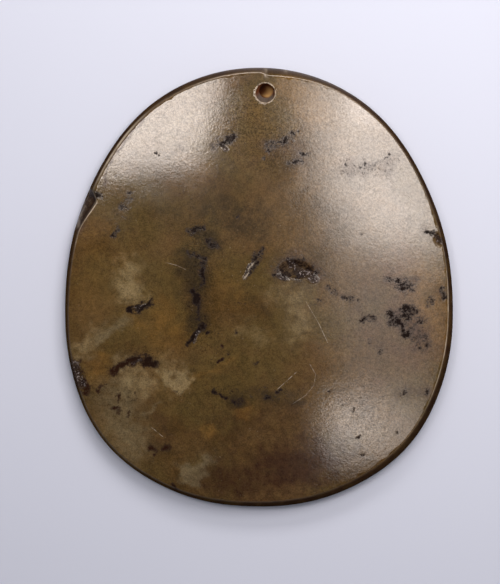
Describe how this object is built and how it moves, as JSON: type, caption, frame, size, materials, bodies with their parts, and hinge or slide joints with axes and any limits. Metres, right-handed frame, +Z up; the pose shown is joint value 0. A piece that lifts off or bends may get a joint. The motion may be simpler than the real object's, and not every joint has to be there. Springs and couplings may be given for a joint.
{
  "type": "stone disc pendant",
  "caption": "Flat egg-shaped disc of polished brown jade with a cord hole drilled near its top edge, a low domed face, a ground rim and an old edge flake.",
  "frame": {"origin": "on the flat underside, below the middle of the outline's box", "axes": "+X across the width, to the right when the cord hole is at the top; +Y along the height, towards the cord hole; +Z up out of the domed, polished face"},
  "size_m": [0.062, 0.07, 0.0052],
  "materials": {
    "polished_jade": "hand-polished brown and olive nephrite jade with dark inclusions, fine scratches and small crusted pits"
  },
  "bodies": {
    "root": {"jade_pendant": "polished_jade"}
  },
  "joints": []
}
